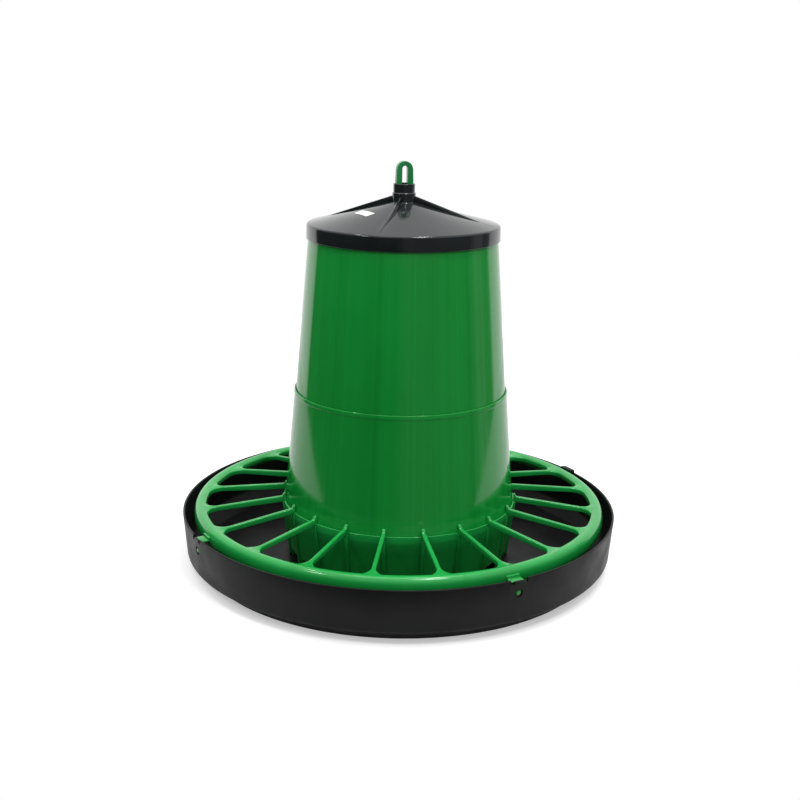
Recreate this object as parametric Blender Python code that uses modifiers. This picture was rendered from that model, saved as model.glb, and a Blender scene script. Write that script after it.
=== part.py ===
# Poultry feeder with an anti-waste grille: black pan, green grille and hopper,
# black lid, green hanging rod. Metres, +Z up. The origin is the middle of the
# ring that the pan stands on, and -Y is the front.

import math

import bmesh
import bpy
from mathutils import Matrix, Vector

MM = 0.001

# Spacing between pieces that fit together
SEAT_GAP = 0.3 * MM
HOPPER_FIT = 0.4 * MM
ROD_FIT = 0.5 * MM
LOOP_FIT = 0.6 * MM

# How finely round pieces are divided
BIG_STEPS = 60
HOPPER_STEPS = 60
LID_STEPS = 48
SMALL_STEPS = 24
CORNER_STEPS = 3

# Pan
PAN_RADIUS = 250 * MM
PAN_DEPTH = 62.3 * MM
PAN_WALL = 2.4 * MM
PAN_DRAFT = 3.7 * MM
PAN_CHAMFER_HEIGHT = 13.0 * MM
PAN_CHAMFER_RUN = 14.0 * MM
PAN_CORNER = 4.5 * MM
FOOT_RING_WIDTH = 5 * MM
FOOT_RING_HEIGHT = 2.2 * MM
SPREADER_GAP = 12 * MM
SPREADER_TOP_BELOW_RIM = 2 * MM
HUB_WALL = 6.5 * MM
HUB_HEIGHT = 8 * MM

# Hanging rod
ROD_RADIUS = 6 * MM
ROD_FLANGE_WIDTH = 5 * MM
ROD_FLANGE_HEIGHT = 3 * MM
ROD_FOOT_LENGTH = 26 * MM
ROD_FOOT_WIDTH = 7 * MM
ROD_FOOT_HEIGHT = 5 * MM
LOOP_WIDTH = 18.8 * MM
LOOP_TOP_WIDTH = 17.2 * MM
LOOP_THICKNESS = 8.4 * MM
LOOP_EDGE = 2.2 * MM
LOOP_SLOT_WIDTH = 6.2 * MM
LOOP_ABOVE_LID = 24.1 * MM
LOOP_BAR = 4.9 * MM
LOOP_SLOT_BELOW_BOSS = 13 * MM
LOOP_ROOT_BELOW_BOSS = 20 * MM
LOOP_NECK = 10 * MM
LOOP_TURN = math.radians(12)

# Grille, with its outer ring, bars, collar and feed drum
SPOKES = 20
CLIP_TURN = math.radians(29.4)
RING_TO_PAN = 13 * MM
RING_WIDTH = 13.5 * MM
RING_ABOVE_RIM = 6.8 * MM
RING_FLANK = 16 * MM
RING_WALL = 2.4 * MM
SPOKE_WIDTH = 4.6 * MM
SPOKE_DEPTH = 6.9 * MM
SPOKE_TAPER = 1.5 * MM
SPOKE_OUTER_ABOVE_RIM = 4.4 * MM
SPOKE_INNER_ABOVE_RIM = 14.5 * MM
SPOKE_FILLET = 14 * MM
COLLAR_RADIUS = 135 * MM
COLLAR_ABOVE_RIM = 9 * MM
COLLAR_WALL = 1.7 * MM
COLLAR_LEDGE_DEPTH = 6.4 * MM
COLLAR_LEDGE_WIDTH = 3.6 * MM
DRUM_WAIST_INSET = 3.4 * MM
DRUM_WAIST_BELOW_RIM = 13 * MM
DRUM_FOOT_INSET = 8.2 * MM
DRUM_WALL = 2.4 * MM
DRUM_RIB_WIDTH = 3.6 * MM
DRUM_RIB_DEPTH = 2.4 * MM
SPOKE_TIP_HEIGHT = 3.2 * MM
SPOKE_TIP_RUN = 2.4 * MM
TIP_STEP = 0.6 * MM
FEED_WINDOW_WIDTH = 27 * MM
FEED_WINDOW_HEIGHT = 11 * MM
FEED_WINDOW_CORNER = 3 * MM

# Clips between the grille and the pan
CLIP_NOTCH_WIDTH = 20.7 * MM
CLIP_NOTCH_DEPTH = 5 * MM
CLIP_TAB_WIDTH = 15.5 * MM
CLIP_TAB_ABOVE_RIM = 1.4 * MM
CLIP_TAB_SLOPE = 3 * MM
CLIP_TAB_THICKNESS = 6.2 * MM
CLIP_LEG_THICKNESS = 2.4 * MM
CLIP_LEG_LENGTH = 21 * MM
CLIP_STUD_RADIUS = 2.8 * MM
CLIP_STUD_FIT = 1.7 * MM
CLIP_STUD_RECESS = 2.6 * MM
CLIP_HOLE_BELOW_RIM = 15.5 * MM
LUG_WIDTH = 20 * MM
LUG_ABOVE_RIM = 3.3 * MM
LUG_REACH = 6.5 * MM
LUG_THICKNESS = 2.9 * MM
LUG_ROOT = 6 * MM

# Hopper
HOPPER_WALL = 1.7 * MM
HOPPER_FOOT_SKIRT = 9 * MM
HOPPER_FOOT_STEP = 0.26 * MM
LOWER_TAPER = 0.092
SEAM_ABOVE_RIM = 139.5 * MM
SEAM_BAND = 4.5 * MM
SEAM_BAND_PROUD = 0.4 * MM
SEAM_LIP = 1.6 * MM
SOCKET_DEPTH = 14 * MM
SOCKET_LEDGE = 2 * MM
UPPER_TAPER = 0.0833
MOUTH_ABOVE_RIM = 322.8 * MM

# Lid
LID_WALL = 1.6 * MM
LID_CLEARANCE = 0.7 * MM
LID_DRAFT = 0.5 * MM
LID_SKIRT_BELOW_MOUTH = 13.3 * MM
LID_EDGE_ABOVE_SEAT = 2.9 * MM
LID_SHOULDER = 2.2 * MM
LID_SHOULDER_DROP = 3 * MM
LID_SEAT_MARGIN = 0.8 * MM
LID_CONE_RISE = 23 * MM
BOSS_WALL = 1.9 * MM
BOSS_STEP_WIDTH = 1 * MM
BOSS_HEIGHT = 20.3 * MM
BOSS_STEP_HEIGHT = 10.7 * MM
LID_RIBS = 4
LID_RIB_TURN = math.radians(-14.5)
LID_RIB_MARGIN = 18.1 * MM
LID_RIB_HEIGHT = 7 * MM
LID_RIB_THICKNESS = 2.4 * MM

# Blank label on the lid
LABEL_LENGTH = 27 * MM
LABEL_WIDTH = 10.5 * MM
LABEL_THICKNESS = 0.3 * MM
LABEL_RADIUS = 51.3 * MM
LABEL_TURN = math.radians(-56)
LABEL_TWIST = math.radians(-3)
LABEL_LIFT = 0.1 * MM

# Heights and radii that follow from the sizes above
RIM = PAN_DEPTH
PAN_FLOOR = FOOT_RING_HEIGHT + PAN_WALL
WALL_FOOT_RADIUS = PAN_RADIUS - PAN_DRAFT
WALL_FOOT = PAN_CHAMFER_HEIGHT + PAN_CORNER
BASE_RADIUS = WALL_FOOT_RADIUS - PAN_CORNER - PAN_CHAMFER_RUN
SPREADER_TOP = RIM - SPREADER_TOP_BELOW_RIM
HUB_TOP = SPREADER_TOP + HUB_HEIGHT
HUB_PLATE = PAN_WALL + 0.6 * MM
HUB_BORE = ROD_RADIUS + ROD_FIT
HUB_RADIUS = HUB_BORE + HUB_WALL
ROD_FLANGE_RADIUS = ROD_RADIUS + ROD_FLANGE_WIDTH

RING_TOP = RIM + RING_ABOVE_RIM
RING_OUTER_RADIUS = PAN_RADIUS - RING_TO_PAN
RING_INNER_RADIUS = RING_OUTER_RADIUS - RING_WIDTH
SPOKE_OUTER_TOP = RIM + SPOKE_OUTER_ABOVE_RIM
SPOKE_INNER_TOP = RIM + SPOKE_INNER_ABOVE_RIM
COLLAR_TOP = RIM + COLLAR_ABOVE_RIM
COLLAR_INNER = COLLAR_RADIUS - COLLAR_WALL
LEDGE = COLLAR_TOP - COLLAR_LEDGE_DEPTH
LEDGE_INNER = COLLAR_INNER - COLLAR_LEDGE_WIDTH
DRUM_WAIST = RIM - DRUM_WAIST_BELOW_RIM
DRUM_WAIST_RADIUS = COLLAR_RADIUS - DRUM_WAIST_INSET
DRUM_FOOT = PAN_FLOOR + SEAT_GAP
DRUM_FOOT_RADIUS = COLLAR_RADIUS - DRUM_FOOT_INSET
SPREADER_RADIUS = DRUM_FOOT_RADIUS - DRUM_WALL - SPREADER_GAP - PAN_WALL
CLIP_HOLE_RADIUS = CLIP_STUD_RADIUS + CLIP_STUD_FIT

SEAM = RIM + SEAM_ABOVE_RIM
HOPPER_FOOT = LEDGE + SEAT_GAP
HOPPER_FOOT_RADIUS = COLLAR_INNER - HOPPER_FIT
SKIRT_TOP = HOPPER_FOOT + HOPPER_FOOT_SKIRT
SEAM_RADIUS = HOPPER_FOOT_RADIUS - HOPPER_FOOT_STEP - (SEAM - SKIRT_TOP) * LOWER_TAPER
SEAM_INNER = SEAM_RADIUS + SEAM_BAND_PROUD - SEAM_LIP
UPPER_SEAM_RADIUS = SEAM_INNER - HOPPER_FIT
MOUTH = RIM + MOUTH_ABOVE_RIM

LID_UNDER = MOUTH + SEAT_GAP
LID_SKIRT_FOOT = MOUTH - LID_SKIRT_BELOW_MOUTH
LID_EDGE = LID_UNDER + LID_EDGE_ABOVE_SEAT
LID_INNER = UPPER_SEAM_RADIUS - (LID_SKIRT_FOOT - SEAM) * UPPER_TAPER + LID_CLEARANCE
LID_RADIUS = LID_INNER + LID_WALL
LID_CONE_EDGE_RADIUS = LID_RADIUS - LID_DRAFT - LID_SHOULDER
LID_RIB_END = LID_CONE_EDGE_RADIUS - LID_RIB_MARGIN
BOSS_FOOT = LID_EDGE + LID_CONE_RISE
BOSS_TOP = BOSS_FOOT + BOSS_HEIGHT
BOSS_STEP = BOSS_FOOT + BOSS_STEP_HEIGHT
BOSS_BORE = LOOP_WIDTH / 2 + LOOP_FIT
BOSS_RADIUS = BOSS_BORE + BOSS_WALL
BOSS_STEP_RADIUS = BOSS_RADIUS + BOSS_STEP_WIDTH
LID_SLOPE = LID_CONE_RISE / (LID_CONE_EDGE_RADIUS - BOSS_STEP_RADIUS)

LOOP_TOP = BOSS_TOP + LOOP_ABOVE_LID
LOOP_ROOT = BOSS_TOP - LOOP_ROOT_BELOW_BOSS

SPOKE_STEP = 2 * math.pi / SPOKES
FRONT_CLIPS = (CLIP_TURN, CLIP_TURN - math.pi / 2)
REAR_CLIPS = (CLIP_TURN + math.pi / 2, CLIP_TURN + math.pi)


def clear_scene():
    for obj in list(bpy.data.objects):
        bpy.data.objects.remove(obj, do_unlink=True)


def make_collection(name, hidden=False):
    collection = bpy.data.collections.new(name)
    bpy.context.scene.collection.children.link(collection)
    collection.hide_render = hidden
    return collection


def make_material(name, colour, roughness):
    material = bpy.data.materials.new(name)
    material.use_nodes = True
    shader = material.node_tree.nodes["Principled BSDF"]
    shader.inputs["Base Color"].default_value = (*colour, 1)
    shader.inputs["Roughness"].default_value = roughness
    shader.inputs["Metallic"].default_value = 0
    return material


def add_object(name, mesh, collection, material=None):
    obj = bpy.data.objects.new(name, mesh)
    collection.objects.link(obj)
    if material:
        mesh.materials.append(material)
    return obj


def smooth(mesh):
    mesh.shade_smooth()
    mesh.set_sharp_from_angle(angle=math.radians(35))


def bearing(radius, turn, height=0.0):
    """The point at this radius, turned from the front towards +X."""
    return Vector((radius * math.sin(turn), -radius * math.cos(turn), height))


def turned_mesh(name, profile, steps):
    """A closed ring of (radius, height) points spun round Z. It runs down its outer side."""
    mesh = bpy.data.meshes.new(name)
    count = len(profile)
    edges = [(i, (i + 1) % count) for i in range(count)]
    mesh.from_pydata([(r, 0, z) for r, z in profile], edges, [])
    guide = bpy.data.objects.new(name, mesh)
    bpy.context.scene.collection.objects.link(guide)
    screw = guide.modifiers.new("Screw", "SCREW")
    screw.steps = screw.render_steps = steps
    screw.use_merge_vertices = True
    screw.merge_threshold = 0.00001
    return taken_from(guide)


def taken_from(guide):
    """The guide's evaluated mesh with its loose caps welded. The guide is removed."""
    bpy.context.view_layer.update()
    graph = bpy.context.evaluated_depsgraph_get()
    mesh = bpy.data.meshes.new_from_object(guide.evaluated_get(graph))
    mesh.transform(guide.matrix_world)
    work = bmesh.new()
    work.from_mesh(mesh)
    bmesh.ops.remove_doubles(work, verts=work.verts, dist=0.000001)
    work.to_mesh(mesh)
    work.free()
    mesh.name = guide.name
    bpy.data.objects.remove(guide, do_unlink=True)
    return mesh


def slab_mesh(name, outlines, half_thickness, place=None, bevel=0.0):
    """Flat closed outlines filled and given thickness. An outline inside another is a hole."""
    curve = bpy.data.curves.new(name, "CURVE")
    curve.dimensions = "2D"
    curve.fill_mode = "BOTH"
    curve.extrude = half_thickness - bevel
    curve.bevel_depth = bevel
    curve.bevel_resolution = 1
    curve.offset = -bevel
    for outline in outlines:
        spline = curve.splines.new("POLY")
        spline.points.add(len(outline) - 1)
        for point, (x, y) in zip(spline.points, outline):
            point.co = (x, y, 0, 1)
        spline.use_cyclic_u = True
    guide = bpy.data.objects.new(name, curve)
    bpy.context.scene.collection.objects.link(guide)
    guide.matrix_world = place or Matrix.Identity(4)
    return taken_from(guide)


def radial_place(turn):
    """Sends an outline drawn in (radius, height) to the upright plane at this bearing."""
    outward = bearing(1, turn)
    up = Vector((0, 0, 1))
    side = outward.cross(up)
    return Matrix((outward, up, side)).transposed().to_4x4()


def joined(name, meshes):
    """Several closed meshes that don't touch, as one mesh."""
    work = bmesh.new()
    for mesh in meshes:
        work.from_mesh(mesh)
        bpy.data.meshes.remove(mesh)
    whole = bpy.data.meshes.new(name)
    work.to_mesh(whole)
    work.free()
    return whole


def radial_slabs(name, outline, half_thickness, turns):
    return joined(name, [slab_mesh(name, [outline], half_thickness, radial_place(t)) for t in turns])


def box_mesh(name, low, high):
    work = bmesh.new()
    bmesh.ops.create_cube(work, size=1)
    size = [h - l for l, h in zip(low, high)]
    middle = [(h + l) / 2 for l, h in zip(low, high)]
    bmesh.ops.scale(work, vec=size, verts=work.verts)
    bmesh.ops.translate(work, vec=middle, verts=work.verts)
    mesh = bpy.data.meshes.new(name)
    work.to_mesh(mesh)
    work.free()
    return mesh


def radial_rods(name, radius, start, end, height, turns):
    """A short round rod along each bearing, from one radius to another."""
    meshes = []
    for turn in turns:
        work = bmesh.new()
        bmesh.ops.create_cone(
            work, cap_ends=True, segments=SMALL_STEPS, radius1=radius, radius2=radius, depth=end - start
        )
        mesh = bpy.data.meshes.new(name)
        work.to_mesh(mesh)
        work.free()
        aim = Vector((0, 0, 1)).rotation_difference(bearing(1, turn)).to_matrix().to_4x4()
        mesh.transform(Matrix.Translation(bearing((start + end) / 2, turn, height)) @ aim)
        meshes.append(mesh)
    return joined(name, meshes)


def helper(name, mesh, cutters):
    obj = add_object(name, mesh, cutters)
    obj.hide_render = True
    obj.display_type = "WIRE"
    return obj


def boolean(obj, operation, other):
    modifier = obj.modifiers.new(other.name, "BOOLEAN")
    modifier.operation = operation
    modifier.solver = "EXACT"
    modifier.object = other


def arc(centre, radius, start, end, steps):
    """Points along an arc in the drawing plane."""
    angles = [start + (end - start) * i / steps for i in range(steps + 1)]
    return [(centre[0] + radius * math.cos(a), centre[1] + radius * math.sin(a)) for a in angles]


def rotated(point, angle):
    x, y = point
    return (x * math.cos(angle) - y * math.sin(angle), x * math.sin(angle) + y * math.cos(angle))


def head_opening(angle, inner, outer, fillet):
    """One hole of the grille, between the bars at this angle and the next, with rounded outer corners."""
    half = SPOKE_WIDTH / 2 + fillet
    reach = outer - fillet
    swing = math.asin(half / reach)
    first = (reach * math.cos(swing), half)
    low_corner = arc(first, fillet, -math.pi / 2, swing, CORNER_STEPS)
    mirrored = [rotated((x, -y), SPOKE_STEP) for x, y in reversed(low_corner)]
    inner_start = math.asin(SPOKE_WIDTH / 2 / inner)
    outer_arc = arc((0, 0), outer, swing, SPOKE_STEP - swing, 3)[1:-1]
    inner_arc = arc((0, 0), inner, SPOKE_STEP - inner_start, inner_start, 3)
    outline = low_corner + outer_arc + mirrored + inner_arc
    return [rotated(point, angle) for point in outline]


def front_angle(turn):
    """The drawing-plane angle of a bearing."""
    return turn - math.pi / 2


def flat_place(height):
    return Matrix.Translation((0, 0, height))


def make_pan(parts, cutters, material):
    inner_wall_foot = WALL_FOOT_RADIUS - PAN_WALL
    lip = 0.7 * MM
    underside = SPREADER_TOP - HUB_PLATE
    profile = [
        (PAN_RADIUS - lip, RIM),
        (PAN_RADIUS, RIM - lip),
        (WALL_FOOT_RADIUS, WALL_FOOT),
        (WALL_FOOT_RADIUS - 0.3 * PAN_CORNER, WALL_FOOT - 0.7 * PAN_CORNER),
        (WALL_FOOT_RADIUS - PAN_CORNER, PAN_CHAMFER_HEIGHT),
        (BASE_RADIUS, 0),
        (BASE_RADIUS - FOOT_RING_WIDTH, 0),
        (BASE_RADIUS - FOOT_RING_WIDTH - FOOT_RING_HEIGHT, FOOT_RING_HEIGHT),
        (SPREADER_RADIUS, FOOT_RING_HEIGHT),
        (HUB_RADIUS + PAN_WALL, underside),
        (HUB_BORE, underside),
        (HUB_BORE, HUB_TOP),
        (HUB_RADIUS, HUB_TOP),
        (HUB_RADIUS, SPREADER_TOP + PAN_WALL),
        (HUB_RADIUS + PAN_WALL, SPREADER_TOP),
        (SPREADER_RADIUS + PAN_WALL, PAN_FLOOR),
        (BASE_RADIUS + 0.2 * PAN_CORNER, PAN_FLOOR),
        (inner_wall_foot - 0.8 * PAN_CORNER, PAN_CHAMFER_HEIGHT + 0.3 * PAN_CORNER),
        (inner_wall_foot, WALL_FOOT + 0.3 * PAN_CORNER),
        (PAN_RADIUS - PAN_WALL, RIM - lip),
        (PAN_RADIUS - PAN_WALL + 0.3 * lip, RIM),
    ]
    mesh = turned_mesh("pan", profile, BIG_STEPS)
    pan = add_object("pan", mesh, parts, material)

    notch = [
        (PAN_RADIUS - 3 * PAN_WALL, RIM - CLIP_NOTCH_DEPTH),
        (PAN_RADIUS + PAN_WALL, RIM - CLIP_NOTCH_DEPTH),
        (PAN_RADIUS + PAN_WALL, RIM + CLIP_NOTCH_DEPTH),
        (PAN_RADIUS - 3 * PAN_WALL, RIM + CLIP_NOTCH_DEPTH),
    ]
    notches = radial_slabs("clip_notches", notch, CLIP_NOTCH_WIDTH / 2, FRONT_CLIPS)
    boolean(pan, "DIFFERENCE", helper("clip_notches", notches, cutters))

    hole_height = RIM - CLIP_HOLE_BELOW_RIM
    inside = PAN_RADIUS - 4 * PAN_WALL
    outside = PAN_RADIUS + PAN_WALL
    holes = radial_rods("clip_holes", CLIP_HOLE_RADIUS, inside, outside, hole_height, FRONT_CLIPS)
    boolean(pan, "DIFFERENCE", helper("clip_holes", holes, cutters))

    top = RIM + LUG_ABOVE_RIM
    outer = PAN_RADIUS - 0.4 * MM
    lug = [
        (outer - LUG_REACH, top),
        (outer - LUG_REACH, top - LUG_THICKNESS),
        (outer - 0.6 * PAN_WALL, top - LUG_THICKNESS),
        (outer - 0.6 * PAN_WALL, RIM - LUG_ROOT),
        (outer - PAN_DRAFT * LUG_ROOT / PAN_DEPTH - 0.4 * MM, RIM - LUG_ROOT),
        (outer, RIM),
        (outer, top),
    ]
    lugs = radial_slabs("rim_lugs", lug, LUG_WIDTH / 2, REAR_CLIPS)
    boolean(pan, "UNION", helper("rim_lugs", lugs, cutters))

    # The foot of the rod drops through this slot before it is turned to lock
    key_length = ROD_FOOT_LENGTH / 2 + ROD_FIT
    key_width = ROD_FOOT_WIDTH / 2 + ROD_FIT
    key = box_mesh(
        "hub_keyway",
        (-key_width, -key_length, underside - PAN_WALL),
        (key_width, key_length, HUB_TOP + PAN_WALL),
    )
    key.transform(Matrix.Rotation(LOOP_TURN, 4, "Z"))
    boolean(pan, "DIFFERENCE", helper("hub_keyway", key, cutters))
    smooth(mesh)
    return pan


def drum_radius(height):
    """Outer radius of the feed drum below the collar."""
    if height > DRUM_WAIST:
        share = (height - DRUM_WAIST) / (COLLAR_TOP - DRUM_WAIST)
        return DRUM_WAIST_RADIUS + share * (COLLAR_RADIUS - DRUM_WAIST_RADIUS)
    share = (height - DRUM_FOOT) / (DRUM_WAIST - DRUM_FOOT)
    return DRUM_FOOT_RADIUS + share * (DRUM_WAIST_RADIUS - DRUM_FOOT_RADIUS)


def make_grille(parts, cutters, material):
    ring_middle = RING_OUTER_RADIUS - RING_WIDTH / 2
    crown = RING_TOP - SPOKE_OUTER_TOP
    flank_foot = RING_TOP - RING_FLANK
    spoke_inner_foot = SPOKE_INNER_TOP - SPOKE_DEPTH
    spoke_outer_foot = SPOKE_OUTER_TOP - SPOKE_DEPTH + SPOKE_TAPER
    profile = [
        (ring_middle, RING_TOP),
        (RING_OUTER_RADIUS - 2.6 * MM, RING_TOP - 0.45 * crown),
        (RING_OUTER_RADIUS - 0.7 * MM, RING_TOP - 1.5 * crown),
        (RING_OUTER_RADIUS, RING_TOP - 2.9 * crown),
        (RING_OUTER_RADIUS, flank_foot),
        (RING_OUTER_RADIUS - RING_WALL, flank_foot),
        (RING_OUTER_RADIUS - RING_WALL, RING_TOP - 2.9 * crown),
        (ring_middle, RING_TOP - crown - RING_WALL),
        (RING_INNER_RADIUS + RING_WALL, spoke_outer_foot + RING_WALL),
        (RING_INNER_RADIUS + RING_WALL, spoke_outer_foot),
        (drum_radius(spoke_inner_foot), spoke_inner_foot),
        (DRUM_WAIST_RADIUS, DRUM_WAIST),
        (DRUM_FOOT_RADIUS, DRUM_FOOT),
        (DRUM_FOOT_RADIUS - DRUM_WALL, DRUM_FOOT),
        (DRUM_WAIST_RADIUS - DRUM_WALL, DRUM_WAIST),
        (LEDGE_INNER, LEDGE - DRUM_WALL),
        (LEDGE_INNER, LEDGE),
        (COLLAR_INNER, LEDGE),
        (COLLAR_INNER, COLLAR_TOP),
        (COLLAR_RADIUS + TIP_STEP, COLLAR_TOP),
        (COLLAR_RADIUS + TIP_STEP, SPOKE_INNER_TOP),
        (RING_INNER_RADIUS, SPOKE_OUTER_TOP),
        (RING_INNER_RADIUS + 2.6 * MM, RING_TOP - 0.45 * crown),
    ]
    mesh = turned_mesh("grille", profile, BIG_STEPS)
    grille = add_object("grille", mesh, parts, material)

    first = front_angle(CLIP_TURN)
    angles = [first + k * SPOKE_STEP for k in range(SPOKES)]
    holes = [head_opening(a, COLLAR_RADIUS, RING_INNER_RADIUS, SPOKE_FILLET) for a in angles]
    openings = slab_mesh("head_openings", holes, 2 * SPOKE_INNER_TOP, flat_place(RIM))
    boolean(grille, "DIFFERENCE", helper("head_openings", openings, cutters))

    # Under each bar a rib runs down the drum, and at its end a small tip stands up
    tip_inner = COLLAR_INNER + 0.3 * COLLAR_WALL
    tip_outer = COLLAR_RADIUS + SPOKE_TIP_RUN
    tip_top = SPOKE_INNER_TOP + SPOKE_TIP_HEIGHT
    rib_foot = DRUM_FOOT + 0.4 * MM
    rib_top = spoke_inner_foot
    rib = [
        (tip_inner, tip_top),
        (tip_inner + 1.2 * MM, tip_top),
        (tip_outer, SPOKE_INNER_TOP - 0.8 * MM),
        (tip_outer, rib_top + 1.2 * MM),
        (drum_radius(rib_top) + DRUM_RIB_DEPTH, rib_top - 1 * MM),
        (DRUM_WAIST_RADIUS + DRUM_RIB_DEPTH, DRUM_WAIST),
        (DRUM_FOOT_RADIUS + DRUM_RIB_DEPTH, rib_foot),
        (DRUM_FOOT_RADIUS - DRUM_WALL / 2, rib_foot),
        (DRUM_WAIST_RADIUS - DRUM_WALL / 2, DRUM_WAIST),
        (tip_inner, LEDGE),
    ]
    turns = [CLIP_TURN + k * SPOKE_STEP for k in range(SPOKES)]
    ribs = radial_slabs("drum_ribs", rib, DRUM_RIB_WIDTH / 2, turns)
    boolean(grille, "UNION", helper("drum_ribs", ribs, cutters))

    window_top = DRUM_FOOT + FEED_WINDOW_HEIGHT
    corner = FEED_WINDOW_CORNER
    corner_side = FEED_WINDOW_WIDTH / 2 - corner
    window = [
        (-FEED_WINDOW_WIDTH / 2, -PAN_WALL),
        (FEED_WINDOW_WIDTH / 2, -PAN_WALL),
        *arc((corner_side, window_top - corner), corner, 0, math.pi / 2, 2),
        *arc((-corner_side, window_top - corner), corner, math.pi / 2, math.pi, 2),
    ]
    windows = []
    for turn in turns:
        middle = turn + SPOKE_STEP / 2
        outward = bearing(1, middle)
        up = Vector((0, 0, 1))
        place = Matrix((up.cross(outward), up, outward)).transposed().to_4x4()
        place.translation = bearing(DRUM_FOOT_RADIUS, middle)
        windows.append(slab_mesh("feed_windows", [window], 4 * DRUM_WALL, place))
    boolean(grille, "DIFFERENCE", helper("feed_windows", joined("feed_windows", windows), cutters))

    tab_top = RIM + CLIP_TAB_ABOVE_RIM
    tab_foot = tab_top - CLIP_TAB_THICKNESS
    leg_outer = WALL_FOOT_RADIUS - PAN_WALL + 1.2 * MM
    leg_inner = leg_outer - CLIP_LEG_THICKNESS
    haunch = 1.5 * MM
    tab = [
        (RING_OUTER_RADIUS - RING_WALL / 2, tab_top),
        (RING_OUTER_RADIUS - RING_WALL / 2, tab_foot),
        (leg_inner - haunch, tab_foot),
        (leg_inner, tab_foot - haunch),
        (leg_inner, tab_top - CLIP_LEG_LENGTH),
        (leg_outer, tab_top - CLIP_LEG_LENGTH),
        (leg_outer, tab_foot - haunch),
        (leg_outer + 0.5 * haunch, tab_foot + 0.4 * haunch),
        (PAN_RADIUS - 0.8 * MM, tab_foot + 0.4 * haunch),
        (PAN_RADIUS - 0.8 * MM, tab_top - CLIP_TAB_SLOPE),
        (PAN_RADIUS - PAN_WALL, tab_top - CLIP_TAB_SLOPE / 2),
    ]
    tabs = radial_slabs("clip_tabs", tab, CLIP_TAB_WIDTH / 2, FRONT_CLIPS)
    boolean(grille, "UNION", helper("clip_tabs", tabs, cutters))
    stud_height = RIM - CLIP_HOLE_BELOW_RIM
    stud_root = leg_outer - CLIP_LEG_THICKNESS / 2
    stud_end = PAN_RADIUS - CLIP_STUD_RECESS
    studs = radial_rods("clip_studs", CLIP_STUD_RADIUS, stud_root, stud_end, stud_height, FRONT_CLIPS)
    boolean(grille, "UNION", helper("clip_studs", studs, cutters))

    # The rear pair of tabs lies under the pan's lugs
    lug_under = RIM + LUG_ABOVE_RIM - LUG_THICKNESS
    rear_top = lug_under - SEAT_GAP
    rear_end = PAN_RADIUS - PAN_WALL - SEAT_GAP - 0.3 * MM
    rear = [
        (RING_OUTER_RADIUS - RING_WALL / 2, rear_top),
        (RING_OUTER_RADIUS - RING_WALL / 2, rear_top - 3 * MM),
        (rear_end, rear_top - 3 * MM),
        (rear_end, rear_top),
    ]
    rear_tabs = radial_slabs("rear_tabs", rear, CLIP_TAB_WIDTH / 2, REAR_CLIPS)
    boolean(grille, "UNION", helper("rear_tabs", rear_tabs, cutters))
    smooth(mesh)
    return grille


def lower_radius(height):
    return SEAM_RADIUS + (SEAM - height) * LOWER_TAPER


def upper_radius(height):
    """Outer radius of the upper hopper section above the seam. Below it the foot is straight."""
    return UPPER_SEAM_RADIUS + (SEAM - height) * UPPER_TAPER


def make_hopper_lower(parts, material):
    """The lower section. A ledge inside its mouth carries the upper one."""
    skirt_step = SKIRT_TOP - HOPPER_FOOT_SKIRT / 3
    band_foot = SEAM - SEAM_BAND
    lip_round = 0.5 * MM
    ledge = SEAM - SOCKET_DEPTH - SEAT_GAP
    ledge_inner = UPPER_SEAM_RADIUS - HOPPER_WALL
    ledge_foot = ledge - 2 * SOCKET_LEDGE
    profile = [
        (SEAM_RADIUS + SEAM_BAND_PROUD - lip_round, SEAM),
        (SEAM_RADIUS + SEAM_BAND_PROUD, SEAM - lip_round),
        (lower_radius(band_foot) + SEAM_BAND_PROUD, band_foot),
        (lower_radius(band_foot - SEAM_BAND_PROUD), band_foot - SEAM_BAND_PROUD),
        (lower_radius(SKIRT_TOP), SKIRT_TOP),
        (HOPPER_FOOT_RADIUS, skirt_step),
        (HOPPER_FOOT_RADIUS, HOPPER_FOOT),
        (HOPPER_FOOT_RADIUS - HOPPER_WALL, HOPPER_FOOT),
        (HOPPER_FOOT_RADIUS - HOPPER_WALL, skirt_step),
        (lower_radius(SKIRT_TOP) - HOPPER_WALL, SKIRT_TOP),
        (lower_radius(ledge_foot) - HOPPER_WALL, ledge_foot),
        (ledge_inner, ledge - SOCKET_LEDGE),
        (ledge_inner, ledge),
        (SEAM_INNER, ledge),
        (SEAM_INNER, SEAM),
    ]
    mesh = turned_mesh("hopper_lower", profile, HOPPER_STEPS)
    smooth(mesh)
    return add_object("hopper_lower", mesh, parts, material)


def make_hopper_upper(parts, material):
    """The upper section. Its straight foot stands in the mouth of the lower one."""
    foot = SEAM - SOCKET_DEPTH
    rim_round = 0.4 * MM
    profile = [
        (upper_radius(MOUTH) - rim_round, MOUTH),
        (upper_radius(MOUTH), MOUTH - rim_round),
        (UPPER_SEAM_RADIUS, SEAM),
        (UPPER_SEAM_RADIUS, foot),
        (UPPER_SEAM_RADIUS - HOPPER_WALL, foot),
        (UPPER_SEAM_RADIUS - HOPPER_WALL, SEAM),
        (upper_radius(MOUTH) - HOPPER_WALL, MOUTH),
    ]
    mesh = turned_mesh("hopper_upper", profile, HOPPER_STEPS)
    smooth(mesh)
    return add_object("hopper_upper", mesh, parts, material)


def lid_height(radius):
    """Top of the lid's cone at this radius."""
    return BOSS_FOOT - (radius - BOSS_STEP_RADIUS) * LID_SLOPE


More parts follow.
